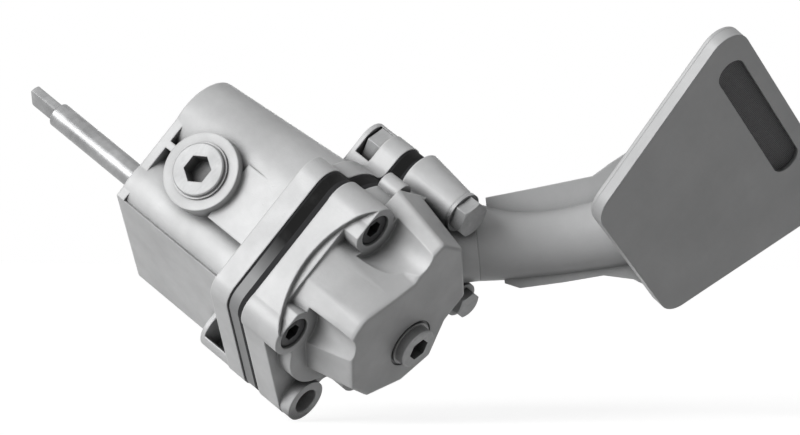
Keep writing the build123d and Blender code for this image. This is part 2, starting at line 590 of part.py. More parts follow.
def relief_spring():
    """Coil from the plug's inner face to the inside of the plunger's nose."""
    low = Z_RELIEF_PLUG + SPRING_WIRE / 2
    high = Z_RELIEF - PLUNGER_NOSE - SPRING_WIRE / 2
    coil_r = PLUNGER_D / 2 - PLUNGER_WALL - SPRING_GAP - SPRING_WIRE / 2
    path = Pos(RELIEF_X, RELIEF_Y, low) * Helix((high - low) / SPRING_TURNS, high - low, coil_r)
    start = Plane(origin=path @ 0, z_dir=path % 0)
    return sweep(start * RegularPolygon(SPRING_WIRE / 2, 6), path=path)


def relief_plug():
    head_top = Z_RELIEF_SPOT - RELIEF_WASHER_T
    plug = rod(RELIEF_X, RELIEF_Y, head_top, Z_RELIEF_PLUG, RELIEF_PLUG_D / 2)
    head = rod(RELIEF_X, RELIEF_Y, head_top - RELIEF_HEAD_T, head_top, RELIEF_HEAD_D / 2)
    plug += chamfer(head.edges().group_by(Axis.Z)[0], RELIEF_HEAD_T / 8)
    return plug - hex_prism(RELIEF_X, RELIEF_Y, head_top - RELIEF_HEAD_T - 1, head_top, RELIEF_HEX)


def relief_plug_washer():
    ring = rod(RELIEF_X, RELIEF_Y, Z_RELIEF_SPOT - RELIEF_WASHER_T, Z_RELIEF_SPOT, RELIEF_HEAD_D / 2 + 1)
    return ring - rod(RELIEF_X, RELIEF_Y, Z_DOME - 5, Z_DOME + 5, RELIEF_PLUG_D / 2 + HEAD_GAP)


# ---- fasteners ------------------------------------------------------------------------
def socket_screw(x, y, seat, end, size):
    """Cap screw with its head below the seat and its shank upwards."""
    low = seat - size["head_h"]
    head = rod(x, y, low, seat, size["head_d"] / 2)
    head = chamfer(head.edges().group_by(Axis.Z)[0], size["head_h"] / 16)
    socket = hex_prism(x, y, low, low + size["head_h"] / 2, size["hex"])
    return head + rod(x, y, seat, end, size["d"] / 2) - socket


def hex_bolt(x, y, seat, end, size):
    height = size["hex_h"]
    head = hex_prism(x, y, seat - height, seat, size["af"])
    crown = Pos(x, y, seat - height / 2) * Cone(size["af"] / 2, size["af"] / 2 + 1.8 * height, height)
    return (head & crown) + rod(x, y, seat, end, size["d"] / 2)


def nut(x, y, size):
    body = hex_prism(x, y, Z_POCKET, Z_POCKET + size["nut_h"], size["af"])
    return body - rod(x, y, Z_POCKET - 1, Z_POCKET + size["nut_h"] + 1, size["d"] / 2)


def cover_screws():
    return Compound([socket_screw(x, y, Z_SCREW_SEAT, Z_BODY + THREAD_L, M8) for x, y in SCREWS])


def long_bolt_washer():
    ring = rod(*LONG_BOLT, Z_BOLT_END - WASHER_T, Z_BOLT_END, WASHER_OD / 2)
    return ring - rod(*LONG_BOLT, Z_BOLT_END - 5, Z_BOLT_END + 5, M8["hole"] / 2)


def dowel_pins():
    return Compound([rod(x, y, Z_COVER - DOWEL_REACH, Z_BODY + DOWEL_REACH, DOWEL_D / 2) for x, y in DOWELS])


def outlet_sleeve():
    ring = rod(*OUTLET, -SLEEVE_H / 2, SLEEVE_H / 2, SLEEVE_OD / 2)
    return ring - rod(*OUTLET, -SLEEVE_H, SLEEVE_H, OUTLET_D / 2)


# ---- pickup horn ----------------------------------------------------------------------
def pan_plane(height):
    """The strainer's own plane: X across, Y from the narrow edge to the wide one."""
    normal = Vector(*PAN_NORMAL).normalized()
    across = Vector(*PAN_AXIS).cross(normal).normalized()
    return Plane(origin=Vector(*PAN_ORIGIN) + normal * height, x_dir=across, z_dir=normal)


def pipe_section(distance, drop, radius):
    seam = seam_plane()
    along = seam.x_dir
    across = pan_plane(0).x_dir
    across = (across - along * across.dot(along)).normalized()
    middle = seam.origin + along * distance - seam.y_dir * drop
    return Plane(origin=middle, x_dir=across, z_dir=along) * Circle(radius)


def horn(inset=0.0):
    """Solid form of the pipe; with an inset, the space inside its wall."""
    back = pan_plane(PAN_DEPTH + SHEET - PIPE_WALL - inset)
    mouth_plane = Plane(origin=back.from_local_coords((*MOUTH_AT, 0)), x_dir=back.x_dir, z_dir=-back.z_dir)
    mouth = mouth_plane * Ellipse(MOUTH_R[0] - inset, MOUTH_R[1] - inset)
    entry = pipe_section(inset - NECK_FACE, 0, PIPE_R - inset)
    slim = pipe_section(WAIST_FROM, WAIST_DROP, WAIST_R - inset)
    flare = pipe_section(WAIST_TO, WAIST_DROP, WAIST_R - inset)
    return loft([entry, slim, flare, mouth])


def horn_shells():
    """Near and far pressings of the pickup pipe, parted along the seam plane."""
    seam = seam_plane(-SEAM_T)
    solid = horn()
    for fin in (SEAM_TOP, SEAM_BOTTOM):
        solid += extrude(seam * polygon(fin), 2 * SEAM_T)
    back = pan_plane(PAN_DEPTH + SHEET)
    solid -= extrude(Plane(origin=back.origin, x_dir=back.x_dir, z_dir=-back.z_dir) * Rectangle(400, 400), 80)
    end = -NECK_FACE - SPIGOT_L
    solid += pipe_bar(end, 0, SPIGOT_R)
    near_side = extrude(seam_plane() * Rectangle(400, 400), 100)
    inside = horn(PIPE_WALL)
    bore = pipe_bar(end - 1, PIPE_WALL, SPIGOT_R - PIPE_WALL)
    near = (solid & near_side) - inside - bore
    far = (solid - near_side) - inside - bore
    return near, far


# ---- strainer -------------------------------------------------------------------------
def pan_outline(inset=0.0):
    near, far = PAN_NARROW / 2, PAN_WIDE / 2
    shape = polygon([(-near, 0), (near, 0), (far, PAN_LENGTH), (-far, PAN_LENGTH)])
    return offset(fillet(shape.vertices(), PAN_CORNER_R), -inset)


def strainer_pan():
    pan = extrude(pan_plane(0) * pan_outline(), PAN_DEPTH)
    pan -= extrude(pan_plane(SHEET) * pan_outline(SHEET), PAN_DEPTH)
    return pan - extrude(pan_plane(-1) * Pos(*SLOT_AT) * SlotOverall(SLOT_L, SLOT_W), SHEET + 2)


def strainer_mesh():
    cloth = SlotOverall(SLOT_L + 2 * MESH_MARGIN, SLOT_W + 2 * MESH_MARGIN)
    return extrude(pan_plane(SHEET) * Pos(*SLOT_AT) * cloth, MESH_T)


def strainer_back_plate():
    plate = extrude(pan_plane(PAN_DEPTH) * pan_outline(), SHEET)
    lip = 2 * PIPE_WALL
    mouth = Pos(*MOUTH_AT) * Ellipse(MOUTH_R[0] - lip, MOUTH_R[1] - lip)
    return plate - extrude(pan_plane(PAN_DEPTH - 1) * mouth, SHEET + 2)


near_shell, far_shell = horn_shells()
PIECES = {
    "pump_body": pump_body(),
    "body_gasket": body_gasket(),
    "spacer_plate": spacer_plate(),
    "cover_gasket": cover_gasket(),
    "pump_cover": pump_cover(),
    "drive_shaft": drive_shaft(),
    "drive_gear": drive_gear(),
    "gear_key": gear_key(),
    "idler_gear": idler_gear(),
    "idler_bush": idler_bush(),
    "idler_axle": idler_axle(),
    "upper_shaft_bush": shaft_bush(-BUSH_SET_IN),
    "lower_shaft_bush": shaft_bush(Z_BODY + BUSH_SET_IN + BUSH_L),
    "side_plug": side_plug(),
    "side_plug_washer": side_plug_washer(),
    "relief_plunger": relief_plunger(),
    "relief_spring": relief_spring(),
    "relief_plug": relief_plug(),
    "relief_plug_washer": relief_plug_washer(),
    "cover_screws": cover_screws(),
    "deep_screw": socket_screw(*DEEP_SCREW, Z_DEEP_SEAT, Z_POCKET + M6["nut_h"] + BOLT_PAST, M6),
    "long_bolt": hex_bolt(*LONG_BOLT, Z_BOLT_END - WASHER_T, Z_POCKET + M8["nut_h"] + BOLT_PAST, M8),
    "long_bolt_washer": long_bolt_washer(),
    "lug_nuts": Compound([nut(*LONG_BOLT, M8), nut(*DEEP_SCREW, M6)]),
    "far_bolt": hex_bolt(FAR_BOLT_X, FAR_BOLT_Y, Z_FAR_END, Z_BODY + THREAD_L, M6),
    "dowel_pins": dowel_pins(),
    "outlet_sleeve": outlet_sleeve(),
    "pickup_near_shell": near_shell,
    "pickup_far_shell": far_shell,
    "strainer_pan": strainer_pan(),
    "strainer_back_plate": strainer_back_plate(),
    "strainer_mesh": strainer_mesh(),
}
os.makedirs("parts", exist_ok=True)
for name, shape in PIECES.items():
    save(name, shape)
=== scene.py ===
# %% [markdown]
# # An engine oil pump with its pickup
# The pump is a die-cast body and cover held by cap screws, with a polished driving shaft,
# a pressed sheet pickup pipe and a flat strainer pan. The solids come from the CAD model and
# stay where they are. This lesson sets up a plain studio, gives each solid its finish with
# softened edges, and winds one real spring.

# %% Load the fixed frame
import json
import math
import bmesh
import bpy
from mathutils import Matrix, Vector


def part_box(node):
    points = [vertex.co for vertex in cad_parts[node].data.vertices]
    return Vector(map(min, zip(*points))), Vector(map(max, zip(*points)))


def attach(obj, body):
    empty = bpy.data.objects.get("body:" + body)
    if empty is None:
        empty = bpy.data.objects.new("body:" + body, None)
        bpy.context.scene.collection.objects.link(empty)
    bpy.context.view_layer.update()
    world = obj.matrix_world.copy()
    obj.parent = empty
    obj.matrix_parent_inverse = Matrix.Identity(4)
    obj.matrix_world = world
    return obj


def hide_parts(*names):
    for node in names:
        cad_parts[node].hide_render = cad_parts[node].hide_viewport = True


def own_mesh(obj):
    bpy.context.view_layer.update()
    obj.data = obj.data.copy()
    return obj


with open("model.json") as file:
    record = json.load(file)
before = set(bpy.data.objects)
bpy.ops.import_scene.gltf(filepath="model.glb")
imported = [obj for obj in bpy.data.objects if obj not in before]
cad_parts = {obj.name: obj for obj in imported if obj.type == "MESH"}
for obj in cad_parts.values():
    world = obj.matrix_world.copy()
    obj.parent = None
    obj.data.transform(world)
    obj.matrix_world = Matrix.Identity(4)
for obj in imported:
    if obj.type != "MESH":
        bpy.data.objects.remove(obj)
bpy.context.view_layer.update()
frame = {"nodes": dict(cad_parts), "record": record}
nodes = frame["nodes"]

# %% [markdown]
# ## The camera
# A long lens from a distance keeps the pump's parallel edges nearly parallel, as a catalogue
# picture does. The camera could be aimed with a constraint, but three written axes say
# exactly which way is right, up and back, and nothing has to be worked out again.

# %% Camera
cam_right = Vector((-0.364921, 0.619779, -0.694771))
cam_up = Vector((0.288197, 0.784776, 0.548697))
cam_back = Vector((0.885311, 0.0, -0.465))
cam_place = Vector((1.3122286, 0.0505957, -0.7813754))
lens = bpy.data.cameras.new("studio_camera")
lens.lens = 180.0
lens.sensor_width = 36.0
lens.clip_end = 20.0
camera = bpy.data.objects.new("studio_camera", lens)
turn = Matrix((cam_right, cam_up, cam_back)).transposed().to_4x4()
camera.matrix_world = Matrix.Translation(cam_place) @ turn
bpy.context.scene.collection.objects.link(camera)
bpy.context.scene.camera = camera
print("camera is", round(cam_place.length, 3), "m from the origin")

# %% [markdown]
# ## The studio
# Satin metal shows its form through soft light from one side and a paler room around it.
# Area lamps would fall off over the floor, so wide suns are used: one large key from the upper
# left, a weaker one from above, and one that only reaches the pump's far side. The world fills
# the shadows a little, and is white where the camera or a reflection looks at it.

# %% Lamps
KEY = 2.75
TOP = 0.22
FAR = 1.3
FILL = 0.10


def toward(left, up, back):
    """A direction in the scene from one that is written as the camera sees it."""
    return (-left * cam_right + up * cam_up + back * cam_back).normalized()


def sun(name, direction, strength, spread):
    """A wide, soft, distant lamp that shines from that direction."""
    lamp = bpy.data.lights.new(name, "SUN")
    lamp.energy = strength
    lamp.angle = spread
    holder = bpy.data.objects.new(name, lamp)
    holder.rotation_euler = direction.to_track_quat("Z", "Y").to_euler()
    holder.location = direction * 2.0
    bpy.context.scene.collection.objects.link(holder)
    return holder


sun("key_lamp", toward(0.7, 0.36, 0.62), KEY, 0.7)
sun("top_lamp", toward(-0.05, 0.98, 0.12), TOP, 0.9)
sun("far_lamp", toward(0.0, -0.1, -1.0), FAR, 0.6)
print("key, top and far lamps:", KEY, TOP, FAR)

# %% Rays that look at the room
def seen_rays(tree):
    """1 for a ray from the camera, a reflection or glass, else 0. Gives the socket."""
    rays = tree.nodes.new("ShaderNodeLightPath")
    some = tree.nodes.new("ShaderNodeMath")
    some.operation = "ADD"
    seen = tree.nodes.new("ShaderNodeMath")
    seen.operation = "ADD"
    seen.use_clamp = True
    tree.links.new(rays.outputs["Is Camera Ray"], some.inputs[0])
    tree.links.new(rays.outputs["Is Glossy Ray"], some.inputs[1])
    tree.links.new(some.outputs[0], seen.inputs[0])
    tree.links.new(rays.outputs["Is Transmission Ray"], seen.inputs[1])
    return seen.outputs[0]


# %% White room
world = bpy.data.worlds.new("white_room")
bpy.context.scene.world = world
world.use_nodes = True
tree = world.node_tree
tree.nodes.clear()
fill = tree.nodes.new("ShaderNodeBackground")
fill.inputs["Color"].default_value = (1, 1, 1, 1)
fill.inputs["Strength"].default_value = FILL
white = tree.nodes.new("ShaderNodeBackground")
white.inputs["Color"].default_value = (1, 1, 1, 1)
white.inputs["Strength"].default_value = 1.0
blend = tree.nodes.new("ShaderNodeMixShader")
tree.links.new(seen_rays(tree), blend.inputs["Fac"])
tree.links.new(fill.outputs[0], blend.inputs[1])
tree.links.new(white.outputs[0], blend.inputs[2])
room = tree.nodes.new("ShaderNodeOutputWorld")
tree.links.new(blend.outputs[0], room.inputs["Surface"])
bpy.context.scene.view_settings.view_transform = "Standard"
print("fill:", FILL)

# %% [markdown]
# ## The floor
# The pump lies on a pale sheet. A plane is enough, if it is large and its far edge is never
# seen. It is see-through from behind, so that a view from under it isn't blocked. Its paper is
# a mid grey, which keeps the pump's undersides dark, and the camera sees it lifted to white.

# %% Floor sheet
FLOOR_GAP = 0.0006
FLOOR_HALF = 4.0


def lowest(direction):
    """How far the shown solids reach against a direction."""
    least = 1.0
    for solid in nodes.values():
        least = min(least, min(v.co.dot(direction) for v in solid.data.vertices))
    return least


floor_mesh = bpy.data.meshes.new("floor")
flat = bmesh.new()
bmesh.ops.create_grid(flat, x_segments=8, y_segments=8, size=FLOOR_HALF)
flat.to_mesh(floor_mesh)
flat.free()
floor = bpy.data.objects.new("floor", floor_mesh)
drop = lowest(cam_up) - FLOOR_GAP
floor.matrix_world = (Matrix.Translation(cam_up * drop)
                      @ cam_up.to_track_quat("Z", "Y").to_matrix().to_4x4())
bpy.context.scene.collection.objects.link(floor)
print("floor lies", round(-drop * 1000, 1), "mm under the origin")

# %% Pale paper
PAPER_LIFT = 0.86
paper = bpy.data.materials.new("pale_paper")
paper.use_nodes = True
tree = paper.node_tree
tree.nodes.clear()
place = tree.nodes.new("ShaderNodeTexCoord")
fibre = tree.nodes.new("ShaderNodeTexNoise")
fibre.inputs["Scale"].default_value = 90.0
fibre.inputs["Detail"].default_value = 4.0
tree.links.new(place.outputs["Object"], fibre.inputs["Vector"])
tone = tree.nodes.new("ShaderNodeValToRGB")
tone.color_ramp.elements[0].color = (0.30, 0.30, 0.30, 1)
tone.color_ramp.elements[1].color = (0.34, 0.34, 0.34, 1)
tree.links.new(fibre.outputs["Fac"], tone.inputs["Fac"])
sheet = tree.nodes.new("ShaderNodeBsdfDiffuse")
tree.links.new(tone.outputs["Color"], sheet.inputs["Color"])
lift = tree.nodes.new("ShaderNodeMath")
lift.operation = "MULTIPLY"
lift.inputs[1].default_value = PAPER_LIFT
tree.links.new(seen_rays(tree), lift.inputs[0])
glow = tree.nodes.new("ShaderNodeEmission")
tree.links.new(lift.outputs[0], glow.inputs["Strength"])
both = tree.nodes.new("ShaderNodeAddShader")
tree.links.new(sheet.outputs[0], both.inputs[0])
tree.links.new(glow.outputs[0], both.inputs[1])
side = tree.nodes.new("ShaderNodeNewGeometry")
clear = tree.nodes.new("ShaderNodeBsdfTransparent")
pick = tree.nodes.new("ShaderNodeMixShader")
tree.links.new(side.outputs["Backfacing"], pick.inputs["Fac"])
tree.links.new(both.outputs[0], pick.inputs[1])
tree.links.new(clear.outputs[0], pick.inputs[2])
out = tree.nodes.new("ShaderNodeOutputMaterial")
tree.links.new(pick.outputs[0], out.inputs["Surface"])
floor_mesh.materials.append(paper)
print("finish:", paper.name, "lifted by", PAPER_LIFT, "for the camera")

# %% [markdown]
# ## Node groups for effects that several finishes share
# A real casting, a turned bolt and a pressed pan share a few effects at different sizes:
# a fine grain, cloudy staining, bright rubbed edges and painted shade in the corners. Each could be
# drawn again in every material. A group with named inputs is made once and given its own
# values in each one.

# %% Helpers for node groups
def new_group(name, inputs, outputs):
    """A shader node group with those sockets, and its inner input and output nodes."""
    group = bpy.data.node_groups.new(name, "ShaderNodeTree")
    for label, value in inputs:
        socket = group.interface.new_socket(
            name=label, in_out="INPUT", socket_type="NodeSocketFloat")
        socket.default_value = value
    for label, kind in outputs:
        group.interface.new_socket(name=label, in_out="OUTPUT", socket_type=kind)
    return group, group.nodes.new("NodeGroupInput"), group.nodes.new("NodeGroupOutput")


def math_node(tree, operation, first, second=None, clamp=False):
    """A Math node fed by sockets or plain numbers. Gives its output."""
    node = tree.nodes.new("ShaderNodeMath")
    node.operation = operation
    node.use_clamp = clamp
    for k, value in enumerate((first, second)):
        if value is None:
            continue
        if isinstance(value, (int, float)):
            node.inputs[k].default_value = value
        else:
            tree.links.new(value, node.inputs[k])
    return node.outputs[0]


def object_place(tree):
    """The object's own coordinates, in metres."""
    return tree.nodes.new("ShaderNodeTexCoord").outputs["Object"]


def noise(tree, where, scale, detail=3.0, rough=0.55):
    """A Noise Texture; scale is a number or a socket. Gives its Fac."""
    node = tree.nodes.new("ShaderNodeTexNoise")
    node.inputs["Detail"].default_value = detail
    node.inputs["Roughness"].default_value = rough
    if isinstance(scale, (int, float)):
        node.inputs["Scale"].default_value = scale
    else:
        tree.links.new(scale, node.inputs["Scale"])
    tree.links.new(where, node.inputs["Vector"])
    return node.outputs["Fac"]


# %% Cast grain
grain, g_in, g_out = new_group(
    "cast_grain",
    [("Grain Scale", 1300.0), ("Cloud Scale", 55.0), ("Pit Scale", 420.0)],
    [("Height", "NodeSocketFloat"), ("Clouds", "NodeSocketFloat")])
where = object_place(grain)
fine = noise(grain, where, g_in.outputs["Grain Scale"], 4.0, 0.6)
clouds = noise(grain, where, g_in.outputs["Cloud Scale"], 5.0, 0.6)
pit_cells = grain.nodes.new("ShaderNodeTexVoronoi")
grain.links.new(g_in.outputs["Pit Scale"], pit_cells.inputs["Scale"])
grain.links.new(where, pit_cells.inputs["Vector"])
pit = grain.nodes.new("ShaderNodeMapRange")
pit.inputs["From Min"].default_value = 0.06
pit.inputs["From Max"].default_value = 0.22
pit.inputs["To Min"].default_value = 1.0
pit.inputs["To Max"].default_value = 0.0
grain.links.new(pit_cells.outputs["Distance"], pit.inputs["Value"])
rare = math_node(grain, "GREATER_THAN", noise(grain, where, 160.0, 2.0), 0.58)
pits = math_node(grain, "MULTIPLY", pit.outputs["Result"], rare)
grain.links.new(math_node(grain, "SUBTRACT", fine, pits), g_out.inputs["Height"])
grain.links.new(clouds, g_out.inputs["Clouds"])
print("group:", grain.name)

# %% Rounded, rubbed edges and painted shade in the corners
EDGE_SAMPLES = 6
CORNER_SAMPLES = 5
edges, e_in, e_out = new_group(
    "rounded_edges",
    [("Radius", 0.0008), ("Reach", 0.006)],
    [("Normal", "NodeSocketVector"), ("Edge", "NodeSocketFloat"), ("Painted Corner Shade", "NodeSocketFloat")])
soften = edges.nodes.new("ShaderNodeBevel")
soften.samples = EDGE_SAMPLES
edges.links.new(e_in.outputs["Radius"], soften.inputs["Radius"])
plain = edges.nodes.new("ShaderNodeNewGeometry")
same = edges.nodes.new("ShaderNodeVectorMath")
same.operation = "DOT_PRODUCT"
edges.links.new(soften.outputs["Normal"], same.inputs[0])
edges.links.new(plain.outputs["Normal"], same.inputs[1])
bent = edges.nodes.new("ShaderNodeMapRange")
bent.inputs["From Min"].default_value = 0.995
bent.inputs["From Max"].default_value = 0.86
edges.links.new(same.outputs["Value"], bent.inputs["Value"])
# The corner mask is painted shade: ambient occlusion finds the corners, creases and recesses where
# shade falls, and each finish darkens them.
shade = edges.nodes.new("ShaderNodeAmbientOcclusion")
shade.samples = CORNER_SAMPLES
edges.links.new(e_in.outputs["Reach"], shade.inputs["Distance"])
corner_shade = edges.nodes.new("ShaderNodeMapRange")
corner_shade.inputs["From Min"].default_value = 0.86
corner_shade.inputs["From Max"].default_value = 0.34
edges.links.new(shade.outputs["AO"], corner_shade.inputs["Value"])
open_edge = math_node(edges, "MULTIPLY", bent.outputs["Result"],
                      math_node(edges, "SUBTRACT", 1.0, corner_shade.outputs["Result"], True))
edges.links.new(soften.outputs["Normal"], e_out.inputs["Normal"])
edges.links.new(open_edge, e_out.inputs["Edge"])
edges.links.new(corner_shade.outputs["Result"], e_out.inputs["Painted Corner Shade"])
print("group:", edges.name)

# %% Turned and drawn marks
marks, m_in, m_out = new_group(
    "tool_marks",
    [("Across X", 1.0), ("Across Y", 1.0), ("Across Z", 40.0), ("Scale", 90.0)],
    [("Height", "NodeSocketFloat"), ("Sheen", "NodeSocketFloat")])
where = object_place(marks)
parts = marks.nodes.new("ShaderNodeSeparateXYZ")
marks.links.new(where, parts.inputs["Vector"])
pressed = marks.nodes.new("ShaderNodeCombineXYZ")
for axis in "XYZ":
    across = math_node(marks, "MULTIPLY", parts.outputs[axis], m_in.outputs["Across " + axis])
    marks.links.new(across, pressed.inputs[axis])
lines = noise(marks, pressed.outputs["Vector"], m_in.outputs["Scale"], 5.0, 0.6)
broad = noise(marks, where, 130.0, 3.0)
marks.links.new(lines, m_out.inputs["Height"])
marks.links.new(math_node(marks, "MULTIPLY", lines, broad), m_out.inputs["Sheen"])
print("group:", marks.name)

# %% Woven wire
weave, w_in, w_out = new_group(
    "woven_wire", [("Pitch Scale", 900.0)],
    [("Height", "NodeSocketFloat"), ("Gap", "NodeSocketFloat")])
where = object_place(weave)
bands = []
for direction in ("X", "Y"):
    wires = weave.nodes.new("ShaderNodeTexWave")
    wires.wave_type = "BANDS"
    wires.bands_direction = direction
    wires.inputs["Distortion"].default_value = 0.0
    weave.links.new(w_in.outputs["Pitch Scale"], wires.inputs["Scale"])
    weave.links.new(where, wires.inputs["Vector"])
    bands.append(wires.outputs["Fac"])
height = math_node(weave, "MAXIMUM", bands[0], bands[1])
weave.links.new(height, w_out.inputs["Height"])
weave.links.new(math_node(weave, "LESS_THAN", height, 0.45), w_out.inputs["Gap"])
print("group:", weave.name)

# %% [markdown]
# ## The finishes
# Every finish below is one Principled BSDF. The groups feed its colour, roughness and
# normal, and the numbers that are the same all over are set on its own sockets.

# %% Helpers that place a group and blend tones
def use_group(tree, group, **values):
    """Places a node group in a material with its own values."""
    node = tree.nodes.new("ShaderNodeGroup")
    node.node_tree = group
    for label, value in values.items():
        node.inputs[label.replace("_", " ")].default_value = value
    return node


def mix_tone(tree, amount, first, second):
    """Blends two colours, each a colour or a socket, by a socket. Gives the blend."""
    node = tree.nodes.new("ShaderNodeMix")
    node.data_type = "RGBA"
    node.clamp_factor = True
    tree.links.new(amount, node.inputs[0])
    for k, value in ((6, first), (7, second)):
        if isinstance(value, tuple):
            node.inputs[k].default_value = (*value, 1)
        else:
            tree.links.new(value, node.inputs[k])
    return node.outputs[2]


def span(tree, value, low, high):
    """Spreads a mask from 0..1 over low..high."""
    node = tree.nodes.new("ShaderNodeMapRange")
    node.inputs["To Min"].default_value = low
    node.inputs["To Max"].default_value = high
    tree.links.new(value, node.inputs["Value"])
    return node.outputs["Result"]


# %% Helpers that start and end a finish
def start_finish(name, metallic, specular=0.5):
    """An empty material with a Principled BSDF. Gives both and the node tree."""
    material = bpy.data.materials.new(name)
    material.use_nodes = True
    tree = material.node_tree
    tree.nodes.clear()
    shader = tree.nodes.new("ShaderNodeBsdfPrincipled")
    shader.inputs["Metallic"].default_value = metallic
    shader.inputs["Specular IOR Level"].default_value = specular
    out = tree.nodes.new("ShaderNodeOutputMaterial")
    tree.links.new(shader.outputs[0], out.inputs["Surface"])
    return material, tree, shader


def add_bump(tree, shader, height, normal, strength, distance):
    """Lays a fine relief over the rounded edges."""
    relief = tree.nodes.new("ShaderNodeBump")
    relief.inputs["Strength"].default_value = strength
    relief.inputs["Distance"].default_value = distance
    tree.links.new(height, relief.inputs["Height"])
    if normal is not None:
        tree.links.new(normal, relief.inputs["Normal"])
    tree.links.new(relief.outputs["Normal"], shader.inputs["Normal"])


# %% [markdown]
# ### Die-cast aluminium
# The casting is shot-blasted, so it is satin and slightly cloudy, with brighter rubbed edges
# and painted shade darkening its inner corners. Much metal in the shader would mirror the room,
# which a blasted skin doesn't do, so most of its colour is plain diffuse.

# %% Cast finish
def cast_finish(name, light, dark, rub, painted_shade_tone, rough, radius):
    """Blasted casting: clouds, grain, pits, rubbed edges and painted shade in the corners."""
    material, tree, shader = start_finish(name, 0.08, 0.35)
    skin = use_group(tree, grain, Grain_Scale=1500.0, Cloud_Scale=48.0, Pit_Scale=520.0)
    rim = use_group(tree, edges, Radius=radius, Reach=0.007)
    tone = mix_tone(tree, span(tree, skin.outputs["Clouds"], -0.4, 1.4), dark, light)
    # Painted shade: the corner mask blends the tone towards near black in creases and recesses.
    tone = mix_tone(tree, span(tree, rim.outputs["Painted Corner Shade"], 0.0, 0.92), tone, painted_shade_tone)
    tone = mix_tone(tree, span(tree, rim.outputs["Edge"], 0.0, 0.55), tone, rub)
    tree.links.new(tone, shader.inputs["Base Color"])
    tree.links.new(span(tree, skin.outputs["Clouds"], rough + 0.08, rough - 0.08),
                   shader.inputs["Roughness"])
    add_bump(tree, shader, skin.outputs["Height"], rim.outputs["Normal"], 0.35, 0.00012)
    return material


cast_alloy = cast_finish("cast_alloy", (0.64, 0.643, 0.646), (0.48, 0.483, 0.486),
                         (0.8, 0.803, 0.806), (0.04, 0.04, 0.041), 0.44, 0.0010)
print("finish:", cast_alloy.name)

# %% [markdown]
# ### Steel
# The shaft is ground, the bolts are turned and plated, the socket screws are blackened. Six
# materials could be drawn by hand, but they all carry the marks of a tool that went round the
# axis, so one helper makes them from their own tones, roughness and spacing of the marks.

# %% Steel finishes
def steel_finish(name, light, dark, metallic, rough, across, scale, radius, relief=0.12,
                 ground=False):
    """Turned steel with marks along its axis and painted shade in its corners; ground steel has no
    rubbed edges.
    """
    material, tree, shader = start_finish(name, metallic)
    lines = use_group(tree, marks, Across_X=across[0], Across_Y=across[1],
                      Across_Z=across[2], Scale=scale)
    rim = use_group(tree, edges, Radius=radius, Reach=0.009)
    tone = mix_tone(tree, span(tree, lines.outputs["Sheen"], -0.3, 2.4), dark, light)
    # Painted shade: the corner mask darkens the tone to a tenth of the dark one.
    tone = mix_tone(tree, span(tree, rim.outputs["Painted Corner Shade"], 0.0, 0.95), tone,
                    tuple(0.1 * c for c in dark))
    if not ground:
        tone = mix_tone(tree, span(tree, rim.outputs["Edge"], 0.0, 0.5), tone,
                        tuple(min(0.9, 1.25 * c) for c in light))
    tree.links.new(tone, shader.inputs["Base Color"])
    tree.links.new(span(tree, lines.outputs["Height"], rough - 0.05, rough + 0.07),
                   shader.inputs["Roughness"])
    add_bump(tree, shader, lines.outputs["Height"], None if ground else rim.outputs["Normal"],
             relief, 0.00005)
    return material


machined_steel = steel_finish("machined_steel", (0.44, 0.443, 0.446), (0.24, 0.242, 0.245),
                              0.6, 0.34, (1, 1, 3), 60.0, 0.0003, 0.01, True)
bolt_steel = steel_finish("bolt_steel", (0.5, 0.503, 0.506), (0.34, 0.343, 0.346),
                          0.28, 0.5, (2, 2, 12), 240.0, 0.0005, 0.12)
dark_steel = steel_finish("dark_steel", (0.09, 0.09, 0.092), (0.045, 0.045, 0.047),
                          0.3, 0.45, (3, 3, 9), 300.0, 0.0004)
gear_steel = steel_finish("gear_steel", (0.5, 0.505, 0.51), (0.36, 0.365, 0.37),
                          0.6, 0.32, (1, 1, 22), 200.0, 0.0002)
bush_bronze = steel_finish("bush_bronze", (0.62, 0.47, 0.26), (0.44, 0.32, 0.17),
                           0.6, 0.4, (1, 1, 15), 260.0, 0.0003)
washer_metal = steel_finish("washer", (0.66, 0.66, 0.665), (0.48, 0.48, 0.485),
                            0.2, 0.45, (6, 6, 2), 260.0, 0.0003)
print("steel finishes: 6")

# %% [markdown]
# ### Pressed sheet, joint sheet and wire cloth
# The pickup and its pan are drawn from sheet steel and keep long drawn streaks. The joints
# are a dark fibre sheet with no shine. The strainer is woven wire, which could be modelled
# wire by wire, but only a slot's width of it shows, so bands across each other are enough.

# %% Sheet finish
def sheet_finish(name, light, dark, rough):
    """Drawn sheet: long streaks, faint clouds, rubbed rims and painted shade in the corners."""
    material, tree, shader = start_finish(name, 0.1, 0.35)
    streaks = use_group(tree, marks, Across_X=1.0, Across_Y=9.0, Across_Z=9.0, Scale=150.0)
    skin = use_group(tree, grain, Grain_Scale=900.0, Cloud_Scale=32.0, Pit_Scale=380.0)
    rim = use_group(tree, edges, Radius=0.0007, Reach=0.006)
    tone = mix_tone(tree, span(tree, skin.outputs["Clouds"], -0.5, 1.5), dark, light)
    tone = mix_tone(tree, span(tree, streaks.outputs["Sheen"], 0.0, 0.6), tone,
                    tuple(0.9 * c for c in dark))
    # Painted shade: the corner mask darkens the tone to a fifth of the dark one.
    tone = mix_tone(tree, span(tree, rim.outputs["Painted Corner Shade"], 0.0, 0.8), tone,
                    tuple(0.2 * c for c in dark))
    tone = mix_tone(tree, span(tree, rim.outputs["Edge"], 0.0, 0.5), tone,
                    tuple(min(0.9, 1.2 * c) for c in light))
    tree.links.new(tone, shader.inputs["Base Color"])
    tree.links.new(span(tree, skin.outputs["Clouds"], rough + 0.07, rough - 0.07),
                   shader.inputs["Roughness"])
    add_bump(tree, shader, streaks.outputs["Height"], rim.outputs["Normal"], 0.2, 0.00008)
    return material


sheet_steel = sheet_finish("sheet_steel", (0.52, 0.523, 0.526), (0.42, 0.423, 0.426), 0.44)
print("finish:", sheet_steel.name)

